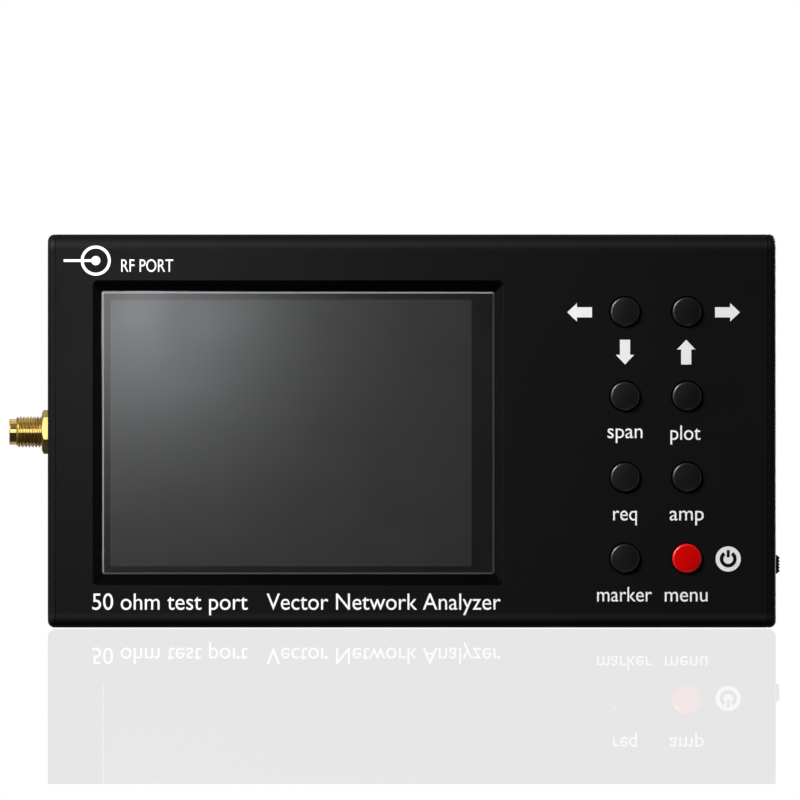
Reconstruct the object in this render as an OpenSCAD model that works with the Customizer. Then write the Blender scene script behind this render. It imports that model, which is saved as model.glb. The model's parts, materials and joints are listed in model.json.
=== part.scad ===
// Hand-held vector network analyser.
// An extruded aluminium case is closed by two screwed end caps. The front wall holds a
// touch display in a bevelled window and eight round keys, the left cap holds the coaxial
// test port, and the right cap holds the charging socket, a light pipe and the battery
// slide switch. A main board runs the length of the case in two extruded slots.
// Frame: X to the right, Y from the front face to the back, Z up. The origin is the middle
// of the case's bottom face.

/* [Case] */
// Width of the case over both end caps
case_w = 150; // [148:1:156]
// Height of the case
case_h = 81; // [81:0.5:84]
// Depth of the case, front face to back face
case_d = 27; // [27:0.5:32]
// Radius of the four long edges
edge_r = 3; // [2:0.5:4]
// Thickness of the extrusion's walls
wall_t = 2; // [1.8:0.1:2.1]
// Thickness of each end cap
cap_t = 1.7; // [1.6:0.1:2]
// Radius around the outer face of each end cap
cap_edge_r = 1.4; // [0.6:0.1:1.5]

/* [Display] */
// Width of the touch glass
glass_w = 80.8; // [76:0.1:82]
// Height of the touch glass
glass_h = 58.2; // [56:0.1:60]
// Distance of the glass centre to the left of the case centre
glass_left = 23.4; // [22:0.1:24]
// Height of the glass centre above the case's bottom
glass_z = 40.1; // [39:0.1:42]
// Width of the sloped border to the left and right of the glass
bevel_w = 1.8; // [1:0.1:2.4]
// Height of the sloped border above and below the glass
bevel_h = 2.2; // [1:0.1:2.4]
// Depth of the glass below the front face
bevel_d = 1.5; // [0.8:0.1:1.5]
// Width of the lit area
lit_w = 74.4; // [66:0.2:75]
// Height of the lit area
lit_h = 54.9; // [50:0.1:55]
// Distance of the lit area's left edge from the glass's left edge
lit_margin = 1.7; // [1:0.1:3]

/* [Keys] */
// Diameter of a key
key_d = 6.1; // [5:0.1:6.2]
// Gap between a key and its hole, all round
key_gap = 0.2; // [0.15:0.05:0.3]
// Height of a key above the front face
key_proud = 0.9; // [0.5:0.1:1.5]
// Distance between the two columns
column_pitch = 12.75; // [11:0.25:13]
// Distance between the lower three rows
row_pitch = 16.7; // [14:0.1:16.7]
// Height of the lowest row above the case's bottom
lowest_row_z = 14.25; // [12:0.25:15]
// Travel of a key
key_travel = 0.3; // [0.2:0.05:0.35]

/* [Test port] */
// Thread diameter of the coaxial jack
port_d = 6.35; // [6:0.05:6.6]
// Reach of the jack beyond the left end cap
port_reach = 8.05; // [8.05:0.05:12]
// Length of the smooth nose in front of the thread
port_nose = 1.6; // [0.5:0.1:1.6]
// Size of the hexagon nut across its flats
nut_af = 8; // [7.8:0.1:9]
// Thickness of the nut
nut_t = 1.35; // [1.2:0.05:1.35]

/* [Slide switch] */
// Length of the ridged knob
knob_l = 3.85; // [3:0.05:4]
// Reach of the knob beyond the right end cap
knob_reach = 0.87; // [0.5:0.01:1.5]
// Travel of the knob, upwards
knob_travel = 2; // [1.5:0.1:2.2]
// Height of the knob's centre above the case's bottom, in its lower place
knob_z = 13; // [12.5:0.1:15]

/* [Hidden] */
$fn = 64;
cut = 0.5; // how far a cutting shape runs past what it cuts

// Case planes
end_x = case_w / 2;
tube_l = case_w - 2 * cap_t;
tube_x = tube_l / 2;
front_y = -case_d / 2;
back_y = case_d / 2;
inner_front_y = front_y + wall_t;
inner_back_y = back_y - wall_t;
inner_top_z = case_h - wall_t;

// Screws that hold the end caps, M2.5 countersunk in extruded channels
screw_r = 1.25;
screw_hole_r = 1.3;
cap_hole_r = 1.4;
screw_head_r = 2.35;
screw_head_t = 1.3;
screw_sink = 0.06;
sink_gap = 0.05;
screw_l = 9;
channel_r = 2.8;
screw_inset = 4.6;
screw_y = case_d / 2 - screw_inset;
screw_z = [screw_inset, case_h - screw_inset];
seam = 0.15; // groove between the case and each cap, and its depth

// Main board, its slots in the case, and what stands on its two faces
board_t = 1.6;
board_front_y = -2.05;
board_back_y = board_front_y + board_t;
board_slack = 0.1;
rib_t = 1;
rib_h = 1.8;
board_left_x = -end_x + 5.5;
board_right_x = end_x - 2.2;
board_low_z = wall_t + 0.3;
board_high_z = inner_top_z - 0.3;

// Display stack, front to back
glass_x = -glass_left;
glass_t = 1.1;
glass_gap = 0.1;
glass_corner_r = 1;
glass_front_y = front_y + bevel_d;
lcd_front_y = glass_front_y + glass_t;
polariser_t = 0.2;
panel_t = 1.2;
backlight_t = 1.6;
frame_t = 0.4;
frame_w = glass_w + 4;
frame_h = glass_h + 4;
panel_front_y = lcd_front_y + polariser_t;
panel_back_y = panel_front_y + panel_t;
frame_back_y = lcd_front_y + 3.5;
lit_x = glass_x - glass_w / 2 + lit_margin + lit_w / 2;
lit_z = glass_z;
ribbon_w = 22;
ribbon_t = 0.3;
ribbon_y = panel_back_y - 0.3;
ribbon_socket_y = board_front_y - 1.25;
ribbon_bend_x = glass_x + frame_w / 2 + 4;

// Keys: column 0 is the left one and row 0 the lowest
key_r = key_d / 2;
key_edge_r = 0.5;
key_front_y = front_y - key_proud;
flange_r = key_r + 0.85;
flange_t = 0.8;
flange_y = inner_front_y + 0.1;
stem_r = 1.6;
switch_w = 6;
switch_t = 3.5;
switch_front_y = board_front_y - switch_t;
plunger_r = 1.7;
plunger_out = 1.2;
plunger_in = 0.6;
plunger_y = switch_front_y - plunger_out;
right_column_x = end_x - 18.35;
top_row_extra = 0.7;
function key_x(column) = right_column_x - (1 - column) * column_pitch;
function key_z(row) = lowest_row_z + row * row_pitch + (row == 3 ? top_row_extra : 0);

// Coaxial test port, its axis along X at mid-height
port_r = port_d / 2;
port_z = case_h / 2 - 0.2;
port_tip_x = -end_x - port_reach;
port_thread_x = port_tip_x + port_nose;
port_nose_r = 2.65;
port_mouth_r = 2.32;
port_mouth_l = 1.95;
port_plane_x = port_tip_x + port_mouth_l;
thread_pitch = 25.4 / 36;
thread_root_r = port_r - 0.38;
relief_r = port_r - 0.3;
dielectric_r = 2.05;
contact_r = 0.635;
contact_bore_r = 0.47;
contact_bore_l = 2.9;
contact_tail_r = 0.45;
washer_t = 0.5;
port_flange_t = 1.5;
port_flange_x = -tube_x + washer_t;
port_rear_x = board_left_x - 0.1;
nut_turn = 19; // turn of the nut on the thread

// Battery and its lead
battery_x = [-28, 60];
battery_z = [13, case_h - 13];
battery_t = 6.4;
tape_t = 0.5;
battery_y = inner_back_y - tape_t - battery_t;
lead_r = 0.6;
plug_x = -11.5;
plug_z = case_h - 7.6;

// Right end cap's sockets, on the front of the board
socket_y = board_front_y - 1.63;
usb_z = case_h / 2;
usb_w = 8.94;
usb_t = 3.26;
usb_wall = 0.3;
usb_l = 7.3;
led_z = usb_z + 12;
pipe_r = 0.9;
knob_w = 2.4;
knob_gap = 0.25;
knob_teeth = 5;
knob_pitch = 0.66;
knob_tooth = 0.27;
knob_inner_x = end_x - 4.6;
switch_body_x = end_x - 5.2;
switch_face_x = tube_x - 0.2;
slot_low_z = knob_z - knob_l / 2 - knob_gap;
slot_l = knob_l + knob_travel + 2 * knob_gap;

// Colours
anodised_black = [0.10, 0.10, 0.11];
board_green = [0.05, 0.25, 0.14];
chip_black = [0.08, 0.08, 0.09];
gold = [0.85, 0.66, 0.25];
steel = [0.72, 0.73, 0.75];

// ---- helpers ----

// A 2D shape drawn in Y and Z, extruded along X from x0
module along_x(x0, length) {
    translate([x0, 0, 0]) rotate([90, 0, 90]) linear_extrude(length) children();
}

// A 2D shape drawn in X and Z, extruded along Y from y0
module along_y(y0, length) {
    translate([0, y0 + length, 0]) rotate([90, 0, 0]) linear_extrude(length) children();
}

// A cylinder or cone along +X from x0
module rod_x(x0, y, z, length, r1, r2) {
    translate([x0, y, z]) rotate([0, 90, 0]) cylinder(h = length, r1 = r1, r2 = r2);
}

// A cylinder along +Y from y0
module rod_y(x, y0, z, length, r) {
    translate([x, y0, z]) rotate([-90, 0, 0]) cylinder(h = length, r = r);
}

// A box given by its lowest corner and its highest corner
module block(low, high) {
    translate(low) cube(high - low);
}

// A rectangle with round corners, centred
module round_rect(w, h, r) {
    square([w - 2 * r, h], center = true);
    square([w, h - 2 * r], center = true);
    for (sx = [-1, 1], sy = [-1, 1]) translate([sx * (w / 2 - r), sy * (h / 2 - r)]) circle(r);
}

// A slot with round ends, its length upwards
module stadium(w, l) {
    square([w, l - w], center = true);
    for (s = [-1, 1]) translate([0, s * (l - w) / 2]) circle(w / 2);
}

// A plate centred at x, z that faces the front
module front_plate(x, z, w, h, r, y0, t) {
    along_y(y0, t) translate([x, z]) round_rect(w, h, r);
}

// A tube of n sides swept along a list of points
module swept_tube(points, r, n) {
    last = len(points) - 1;
    rings = [for (i = [0:last])
        let (d = points[min(i + 1, last)] - points[max(i - 1, 0)],
             along = d / norm(d),
             side = cross(along, [0, 1, 0]) / norm(cross(along, [0, 1, 0])),
             up = cross(along, side))
        [for (k = [0:n - 1]) points[i] + r * (cos(360 * k / n) * side + sin(360 * k / n) * up)]];
    walls = [for (i = [0:last - 1], k = [0:n - 1])
        let (a = i * n + k, b = i * n + (k + 1) % n) [a, b, b + n, a + n]];
    start = [for (k = [n - 1:-1:0]) k];
    end = [for (k = [0:n - 1]) last * n + k];
    polyhedron([for (ring = rings) each ring], concat(walls, [start, end]));
}

// Points along a smooth curve through a route, steps between each two points
function bent(p, steps) = [for (i = [0:len(p) - 2], s = [0:steps - 1])
    let (t = s / steps, a = p[max(i - 1, 0)], b = p[i], c = p[i + 1], d = p[min(i + 2, len(p) - 1)])
    0.5 * (2 * b + (c - a) * t + (2 * a - 5 * b + 4 * c - d) * t * t + (3 * b - a - 3 * c + d) * t * t * t),
    p[len(p) - 1]];

// ---- case ----

module case_outline() {
    translate([0, case_h / 2]) round_rect(case_d, case_h, edge_r);
}

module case_section() {
    difference() {
        case_outline();
        translate([0, case_h / 2]) square([case_d - 2 * wall_t, case_h - 2 * wall_t], center = true);
    }
    // board slots, two ribs on the floor and two under the roof
    for (z0 = [wall_t - cut, inner_top_z - rib_h]) {
        translate([board_front_y - board_slack - rib_t, z0]) square([rib_t, rib_h + cut]);
        translate([board_back_y + board_slack, z0]) square([rib_t, rib_h + cut]);
    }
    // screw channels in the four corners
    for (sy = [-1, 1], z = screw_z) intersection() {
        case_outline();
        translate([sy * screw_y, z]) circle(channel_r);
    }
}

// The sloped border around the glass: two wedges crossed, so its four corners are mitred
module window_bevel() {
    hw = glass_w / 2 + glass_gap;
    hh = glass_h / 2 + glass_gap;
    run_w = bevel_w * (1 + cut / bevel_d);
    run_h = bevel_h * (1 + cut / bevel_d);
    intersection() {
        linear_extrude(case_h) polygon([
            [glass_x - hw, glass_front_y], [glass_x - hw - run_w, front_y - cut],
            [glass_x + hw + run_w, front_y - cut], [glass_x + hw, glass_front_y]]);
        along_x(-end_x, case_w) polygon([
            [glass_front_y, glass_z - hh], [front_y - cut, glass_z - hh - run_h],
            [front_y - cut, glass_z + hh + run_h], [glass_front_y, glass_z + hh]]);
    }
}

module case_body() {
    color(anodised_black) difference() {
        along_x(-tube_x, tube_l) case_section();
        for (sy = [-1, 1], z = screw_z)
            rod_x(-tube_x - cut, sy * screw_y, z, tube_l + 2 * cut, screw_hole_r, screw_hole_r);
        window_bevel();
        block([glass_x - glass_w / 2 - glass_gap, front_y, glass_z - glass_h / 2 - glass_gap],
              [glass_x + glass_w / 2 + glass_gap, inner_front_y + cut, glass_z + glass_h / 2 + glass_gap]);
        for (column = [0, 1], row = [0:3])
            rod_y(key_x(column), front_y - cut, key_z(row), wall_t + 2 * cut, key_r + key_gap);
    }
}

// The rim of a cap in section: a seam groove at the bottom, a straight side, a round edge
module cap_rim() {
    flat = cap_t - cap_edge_r;
    core = edge_r - cap_edge_r;
    square([edge_r - seam, cap_t - cap_edge_r]);
    translate([0, seam]) square([edge_r, flat - seam]);
    square([core, cap_t]);
    intersection() {
        translate([core, flat]) circle(cap_edge_r);
        translate([0, flat]) square([edge_r, cap_edge_r]);
    }
}

// A cap blank that lies on its inner face at height 0
module cap_blank() {
    w = case_d;
    h = case_h;
    for (sx = [-1, 1], sy = [-1, 1])
        translate([sx * (w / 2 - edge_r), sy * (h / 2 - edge_r), 0]) rotate_extrude() cap_rim();
    for (turn = [0, 90, 180, 270]) {
        side = turn % 180 == 0 ? w : h;
        span = (turn % 180 == 0 ? h : w) - 2 * edge_r;
        rotate([0, 0, turn]) translate([side / 2 - edge_r, span / 2, 0]) rotate([90, 0, 0])
            linear_extrude(span) cap_rim();
    }
    translate([-w / 2 + edge_r, -h / 2 + edge_r, 0]) cube([w - 2 * edge_r, h - 2 * edge_r, cap_t]);
}

// side is -1 for the left cap and 1 for the right one
module cap_plate(side) {
    difference() {
        translate([side * tube_x, 0, case_h / 2]) rotate([0, side * 90, 0]) rotate([0, 0, 90]) cap_blank();
        for (sy = [-1, 1], z = screw_z) {
            rod_x(side * end_x - cap_t - cut, sy * screw_y, z, 2 * (cap_t + cut), cap_hole_r, cap_hole_r);
            translate([side * (end_x - screw_sink), sy * screw_y, z]) rotate([0, -side * 90, 0]) {
                cylinder(h = screw_head_t, r1 = screw_head_r + sink_gap, r2 = screw_r + sink_gap);
                translate([0, 0, -cut]) cylinder(h = cut + 0.01, r = screw_head_r + sink_gap);
            }
        }
    }
}

module left_end_cap() {
    color(anodised_black) difference() {
        cap_plate(-1);
        rod_x(-end_x - cut, 0, port_z, cap_t + 2 * cut, port_r + 0.1, port_r + 0.1);
    }
}

module right_end_cap() {
    color(anodised_black) difference() {
        cap_plate(1);
        along_x(tube_x - cut, cap_t + 2 * cut) translate([socket_y, usb_z])
            stadium(usb_t + 0.36, usb_w + 0.36);
        along_x(tube_x - cut, cap_t + 2 * cut) translate([socket_y - knob_w / 2 - 0.2, slot_low_z])
            square([knob_w + 0.4, slot_l]);
        rod_x(tube_x - cut, socket_y, led_z, cap_t + 2 * cut, pipe_r + 0.1, pipe_r + 0.1);
    }
}

// A countersunk screw with a cross recess, its head at height 0 and its tip above
module cap_screw() {
    cross_w = 0.55;
    cross_l = 2.6;
    difference() {
        union() {
            cylinder(h = screw_head_t, r1 = screw_head_r, r2 = screw_r);
            cylinder(h = screw_l, r = screw_r);
        }
        for (turn = [0, 90]) rotate([0, 0, turn])
            translate([-cross_l / 2, -cross_w / 2, -cut]) cube([cross_l, cross_w, 0.85 + cut]);
    }
}

module cap_screws(side) {
    color(chip_black) for (sy = [-1, 1], z = screw_z)
        translate([side * (end_x - screw_sink), sy * screw_y, z]) rotate([0, -side * 90, 0]) cap_screw();
}

// ---- display ----

module touch_glass() {
    color([0.3, 0.32, 0.34])
        front_plate(glass_x, glass_z, glass_w, glass_h, glass_corner_r, glass_front_y, glass_t);
}

module display_gasket() {
    inset = 0.2;
    color([0.05, 0.05, 0.05]) along_y(inner_front_y, lcd_front_y - inner_front_y) difference() {
        translate([glass_x, glass_z]) square([frame_w, frame_h], center = true);
        translate([glass_x, glass_z]) square([glass_w + 2 * inset, glass_h + 2 * inset], center = true);
    }
}

module lcd_polariser() {
    color([0.2, 0.2, 0.21]) front_plate(lit_x, lit_z, lit_w, lit_h, 0.3, lcd_front_y, polariser_t);
}

module lcd_panel() {
    color([0.12, 0.12, 0.13]) front_plate(glass_x, glass_z, frame_w - 3 * frame_t, frame_h - 3 * frame_t,
                                          0.3, panel_front_y, panel_t);
}

module lcd_backlight() {
    color("white") front_plate(glass_x, glass_z, frame_w - 3 * frame_t, frame_h - 3 * frame_t,
                               0.3, panel_back_y, backlight_t);
}

module lcd_frame() {
    x1 = glass_x + frame_w / 2;
    color(steel) difference() {
        front_plate(glass_x, glass_z, frame_w, frame_h, 0.8, lcd_front_y, frame_back_y - lcd_front_y);
        front_plate(glass_x, glass_z, frame_w - 2 * frame_t, frame_h - 2 * frame_t, 0.4,
                    lcd_front_y - cut, frame_back_y - frame_t - lcd_front_y + cut);
        block([x1 - 2 * frame_t, ribbon_y - 0.6, glass_z - ribbon_w / 2 - 0.5],
              [x1 + cut, ribbon_y + 0.6, glass_z + ribbon_w / 2 + 0.5]);
    }
}

// The ribbon leaves the panel's right edge, turns back and enters the socket on the board
module lcd_ribbon() {
    x0 = glass_x + frame_w / 2 - 1.5 * frame_t;
    bend_r = (ribbon_socket_y - ribbon_y) / 2;
    mid_y = (ribbon_socket_y + ribbon_y) / 2;
    color([0.75, 0.45, 0.1]) translate([0, 0, glass_z - ribbon_w / 2]) linear_extrude(ribbon_w) {
        translate([x0, ribbon_y - ribbon_t / 2]) square([ribbon_bend_x - x0, ribbon_t]);
        translate([ribbon_bend_x - 6, ribbon_socket_y - ribbon_t / 2]) square([6, ribbon_t]);
        translate([ribbon_bend_x, mid_y]) difference() {
            circle(bend_r + ribbon_t / 2);
            circle(bend_r - ribbon_t / 2);
            translate([-2 * bend_r, -2 * bend_r]) square([2 * bend_r, 4 * bend_r]);
        }
    }
}

module ribbon_socket() {
    x1 = ribbon_bend_x - 4;
    color([0.9, 0.88, 0.8]) difference() {
        block([x1 - 5, board_front_y - 2.2, glass_z - ribbon_w / 2 - 2],
              [x1, board_front_y, glass_z + ribbon_w / 2 + 2]);
        block([x1 - 2.4, ribbon_socket_y - 0.2, glass_z - ribbon_w / 2 - 0.1],
              [x1 + cut, ribbon_socket_y + 0.2, glass_z + ribbon_w / 2 + 0.1]);
    }
}

// Four foam posts that press the display forwards
module display_spacers() {
    color([0.15, 0.15, 0.16]) for (sx = [-1, 1], sz = [-1, 1])
        rod_y(glass_x + sx * 36, frame_back_y, glass_z + sz * 26, board_front_y - frame_back_y, 3);
}

// ---- main board ----

module main_board() {
    color(board_green)
        block([board_left_x, board_front_y, board_low_z], [board_right_x, board_back_y, board_high_z]);
}

// A part that lies on the back of the board: its middle, width, height and thickness
module back_part(x, z, w, h, t) {
    block([x - w / 2, board_back_y, z - h / 2], [x + w / 2, board_back_y + t, z + h / 2]);
}

// A square chip with a row of leads on each of its four sides
module processor_chip() {
    chip_x = 6;
    chip_z = 38;
    w = 10;
    lead_l = 0.9;
    lead_w = 0.3;
    leads = 10;
    pitch = (w - 1) / leads;
    color(chip_black) translate([chip_x, board_back_y, chip_z]) {
        block([-w / 2, 0, -w / 2], [w / 2, 1.4, w / 2]);
        for (i = [0:leads - 1], turn = [0:90:270]) rotate([0, turn, 0])
            translate([w / 2 - 0.1, 0, (i + 0.5 - leads / 2) * pitch - lead_w / 2])
                cube([lead_l, 0.2, lead_w]);
    }
}

module board_chips() {
    color(chip_black) for (place = [[27, 30], [27, 50], [-22, 20], [46, 60]])
        back_part(place[0], place[1], 6, 4, 1.1);
}

// Rows of small capacitors, and the coils of the power supply
module passive_parts() {
    color([0.55, 0.42, 0.3]) {
        for (i = [0:7], z = [27, 49]) back_part(-5 + 3 * i, z, 1.6, 0.8, 0.8);
        for (i = [0:9]) back_part(-60 + 3 * i, 12, 1.6, 0.8, 0.8);
        for (i = [0:5]) back_part(-60 + 4 * i, 68, 2.5, 1.6, 1.2);
        for (i = [0, 1]) back_part(42 + 8 * i, 9, 5, 5, 3);
    }
}

// Shielded radio section, next to the test port
rf_low = [-66, 24];
rf_high = [-34, 57];
rf_h = 2.8;
rf_wall = 0.3;

module rf_chips() {
    color(chip_black) {
        for (place = [[-58, 40.4, 5], [-48, 40.4, 4], [-40, 33, 5], [-41, 48, 6]])
            back_part(place[0], place[1], place[2], place[2], 0.9);
        for (i = [0:5], z = [29, 52]) back_part(-62.5 + 3 * i, z, 1, 0.5, 0.5);
    }
}

module rf_shield_fence() {
    notch = 1.4; // gap for the port's solder tail
    color(steel) difference() {
        block([rf_low[0], board_back_y, rf_low[1]], [rf_high[0], board_back_y + rf_h, rf_high[1]]);
        block([rf_low[0] + rf_wall, board_back_y - cut, rf_low[1] + rf_wall],
              [rf_high[0] - rf_wall, board_back_y + rf_h + cut, rf_high[1] - rf_wall]);
        block([rf_low[0] - cut, board_back_y - cut, port_z - notch],
              [rf_low[0] + cut, board_back_y + 1.4, port_z + notch]);
    }
}

module rf_shield_cover() {
    gap = 0.02;
    skirt = 1.2;
    low_y = board_back_y + rf_h;
    color([0.8, 0.81, 0.83]) difference() {
        block([rf_low[0] - rf_wall, low_y - skirt, rf_low[1] - rf_wall],
              [rf_high[0] + rf_wall, low_y + rf_wall, rf_high[1] + rf_wall]);
        block([rf_low[0] - gap, low_y - skirt - cut, rf_low[1] - gap],
              [rf_high[0] + gap, low_y, rf_high[1] + gap]);
        for (i = [0:5], k = [0:5])
            rod_y(rf_low[0] + 3.5 + 5 * i, low_y - cut, rf_low[1] + 4 + 5 * k, 2 * cut + rf_wall, 0.75);
    }
}

// ---- test port ----

// Half of the shell's outline, radius against X, with one notch for each turn of the thread.
// Behind the last crest a relief runs under the nut and through the cap.
module shell_profile() {
    crest = 0.05;
    turns = floor((-end_x - nut_t - port_thread_x - crest) / thread_pitch);
    thread_end_x = port_thread_x + turns * thread_pitch + crest;
    notches = [for (i = [0:turns - 1]) let (x = port_thread_x + i * thread_pitch) each [
        [port_r, x + crest], [thread_root_r, x + thread_pitch / 2 - crest],
        [thread_root_r, x + thread_pitch / 2 + crest], [port_r, x + thread_pitch - crest]]];
    polygon(concat(
        [[dielectric_r + 0.02, port_plane_x], [port_mouth_r, port_plane_x], [port_mouth_r, port_tip_x],
         [port_nose_r - 0.15, port_tip_x], [port_nose_r, port_tip_x + 0.15],
         [port_nose_r, port_thread_x - 0.35], [port_r, port_thread_x]],
        notches,
        [[port_r, thread_end_x], [relief_r, thread_end_x + 0.05], [relief_r, port_flange_x],
         [4.4, port_flange_x], [4.4, port_flange_x + port_flange_t],
         [2.75, port_flange_x + port_flange_t], [2.75, port_rear_x], [dielectric_r + 0.02, port_rear_x]]));
}

module sma_shell() {
    tab_w = 0.9;
    color(gold) {
        translate([0, 0, port_z]) rotate([0, 90, 0]) rotate_extrude() shell_profile();
        // ground tabs on the back of the board
        for (s = [-1, 1])
            block([port_flange_x + port_flange_t - 0.2, board_back_y, port_z + s * 3.4 - tab_w / 2],
                  [board_left_x + 2.5, board_back_y + tab_w, port_z + s * 3.4 + tab_w / 2]);
    }
}

// Inside the cap, under the shell's flange, with teeth inwards
module sma_lock_washer() {
    teeth = 8;
    color([0.8, 0.7, 0.4]) along_x(-tube_x + 0.02, washer_t - 0.04) translate([0, port_z]) difference() {
        circle(4.6);
        circle(port_r + 0.08);
        for (i = [0:teeth - 1]) rotate(i * 360 / teeth) translate([3.1, -0.35]) square([0.8, 0.7]);
    }
}

module sma_nut() {
    corner_r = nut_af / 2 / cos(30);
    face_r = nut_af / 2 - 0.1;
    color(gold) difference() {
        intersection() {
            along_x(-end_x - nut_t, nut_t - 0.01) translate([0, port_z]) rotate(nut_turn)
                circle(corner_r, $fn = 6);
            rod_x(-end_x - nut_t, 0, port_z, 3, face_r, face_r + 3 / tan(30));
        }
        rod_x(-end_x - nut_t - cut, 0, port_z, nut_t + 2 * cut, relief_r + 0.03, relief_r + 0.03);
    }
}

module sma_dielectric() {
    l = port_rear_x - port_plane_x;
    hole_r = contact_r + 0.02;
    color("white") difference() {
        rod_x(port_plane_x, 0, port_z, l, dielectric_r, dielectric_r);
        rod_x(port_plane_x - cut, 0, port_z, l + 2 * cut, hole_r, hole_r);
    }
}

module sma_contact() {
    front_x = port_plane_x + 0.05;
    slit = 0.18;
    slit_l = 2.5;
    color(gold) difference() {
        union() {
            rod_x(front_x, 0, port_z, port_rear_x - front_x, contact_r, contact_r);
            rod_x(port_rear_x - cut, 0, port_z, 3 + cut, contact_tail_r, contact_tail_r);
        }
        rod_x(front_x - cut, 0, port_z, contact_bore_l + cut, contact_bore_r, contact_bore_r);
        block([front_x - cut, -contact_r - cut, port_z - slit / 2],
              [front_x + slit_l, contact_r + cut, port_z + slit / 2]);
    }
}

// ---- battery ----

module battery_cell() {
    h = battery_z[1] - battery_z[0];
    fold_r = 1.6;
    color([0.68, 0.7, 0.72]) along_x(battery_x[0], battery_x[1] - battery_x[0])
        translate([battery_y + battery_t / 2, battery_z[0] + h / 2]) round_rect(battery_t, h, fold_r);
}

module battery_tape() {
    tape_w = 12;
    inset = 8;
    color([0.85, 0.85, 0.8]) for (z = [battery_z[0] + inset, battery_z[1] - inset - tape_w])
        block([battery_x[0] + inset, inner_back_y - tape_t, z],
              [battery_x[1] - inset, inner_back_y, z + tape_w]);
}

module battery_guard_board() {
    x0 = -18;
    l = 34;
    y0 = battery_y + 1.6;
    color([0.75, 0.5, 0.1])
        block([x0, y0, battery_z[1]], [x0 + l, y0 + 3, battery_z[1] + 2.2]);
}

// Two insulated wires from the guard board to the plug
lead_routes = [
    [[10, 8, 69.6], [10, 8, 71.4], [7.5, 7, 73], [3, 5, 74], [-3, 3, 74.6], [-8, 2, 74.4],
     [-11.5, 2, 74.4]],
    [[4, 8, 69.6], [4, 8, 71], [2, 7, 72], [-2, 5, 72.4], [-5.5, 3, 72.5], [-8.5, 2, 72.4],
     [-11.5, 2, 72.4]]];

module battery_leads() {
    color([0.7, 0.05, 0.05]) for (route = lead_routes) swept_tube(bent(route, 4), lead_r, 8);
}

module battery_plug() {
    color([0.92, 0.9, 0.85])
        block([plug_x - 4, board_back_y + 0.9, plug_z - 2.6], [plug_x, board_back_y + 4, plug_z + 2.6]);
}

module battery_socket() {
    color([0.9, 0.88, 0.8]) difference() {
        block([plug_x - 7, board_back_y, plug_z - 3.6], [plug_x - 1.4, board_back_y + 4.6, plug_z + 3.6]);
        block([plug_x - 4.05, board_back_y + 0.85, plug_z - 2.65],
              [plug_x + cut, board_back_y + 4.05, plug_z + 2.65]);
    }
}

// ---- right end ----

module usb_shell() {
    color(steel) along_x(end_x - 0.15 - usb_l, usb_l) translate([socket_y, usb_z]) difference() {
        stadium(usb_t, usb_w);
        stadium(usb_t - 2 * usb_wall, usb_w - 2 * usb_wall);
    }
}

module usb_tongue() {
    x0 = end_x - 0.15 - usb_l;
    color(chip_black) {
        along_x(x0, 1.2) translate([socket_y, usb_z])
            stadium(usb_t - 2 * usb_wall - 0.04, usb_w - 2 * usb_wall - 0.04);
        block([x0 + 1.1, socket_y - 0.35, usb_z - 3.345], [x0 + 6.2, socket_y + 0.35, usb_z + 3.345]);
    }
}

module charge_light_pipe() {
    color([0.9, 0.92, 0.9, 0.8]) {
        rod_x(end_x - 4, socket_y, led_z, 3.9, pipe_r, pipe_r);
        rod_x(tube_x - 1.1, socket_y, led_z, 1, pipe_r + 0.6, pipe_r + 0.6);
    }
}

module charge_led() {
    color([0.9, 0.9, 0.7])
        block([end_x - 6.4, board_front_y - 2.5, led_z - 0.8], [end_x - 4.1, board_front_y, led_z + 0.8]);
}

module slide_switch_body() {
    margin = 0.9;
    color(steel) difference() {
        block([switch_body_x, socket_y - knob_w / 2 - 0.9, slot_low_z - margin],
              [switch_face_x, board_front_y, slot_low_z + slot_l + margin]);
        block([knob_inner_x - 0.2, socket_y - knob_w / 2 - 0.1, slot_low_z],
              [switch_face_x + cut, socket_y + knob_w / 2 + 0.1, slot_low_z + slot_l]);
    }
}

// The knob's outer face carries a row of saw-cut ridges, its two ends slope inwards
module slide_switch_knob() {
    tip_x = end_x + knob_reach;
    low_z = knob_z - knob_l / 2;
    high_z = knob_z + knob_l / 2;
    first_z = knob_z - knob_pitch * knob_teeth / 2;
    teeth = [for (i = [0:knob_teeth - 1]) let (z = first_z + i * knob_pitch) each [
        [tip_x - knob_tooth, z], [tip_x, z + knob_pitch * 0.35], [tip_x, z + knob_pitch * 0.65]]];
    color(chip_black) along_y(socket_y - knob_w / 2, knob_w) polygon(concat(
        [[knob_inner_x, high_z], [knob_inner_x, low_z], [end_x + 0.3, low_z]],
        teeth,
        [[tip_x - knob_tooth, first_z + knob_teeth * knob_pitch], [end_x + 0.3, high_z]]));
}

// Sprung contact bridge carried by the knob inside the switch
module slide_switch_contact() {
    t = 0.08;
    color(gold)
        block([knob_inner_x - t, socket_y - 0.8, knob_z - 1.4], [knob_inner_x, socket_y + 0.8, knob_z + 1.4]);
}

// ---- keys ----

module key_cap(column, row, tint) {
    proud_l = flange_y - key_front_y;
    stem_l = plunger_y - flange_y - flange_t;
    color(tint) translate([key_x(column), key_front_y, key_z(row)]) rotate([-90, 0, 0]) rotate_extrude() {
        translate([0, key_edge_r]) square([key_r, proud_l - key_edge_r + 0.1]);
        square([key_r - key_edge_r, proud_l]);
        intersection() {
            translate([key_r - key_edge_r, key_edge_r]) circle(key_edge_r);
            square([key_r, proud_l]);
        }
        translate([0, proud_l]) square([flange_r, flange_t]);
        translate([0, proud_l + flange_t]) square([stem_r, stem_l]);
    }
}

module key_plunger(column, row) {
    color([0.2, 0.2, 0.2]) rod_y(key_x(column), plunger_y, key_z(row), plunger_out + plunger_in, plunger_r);
}

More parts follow.
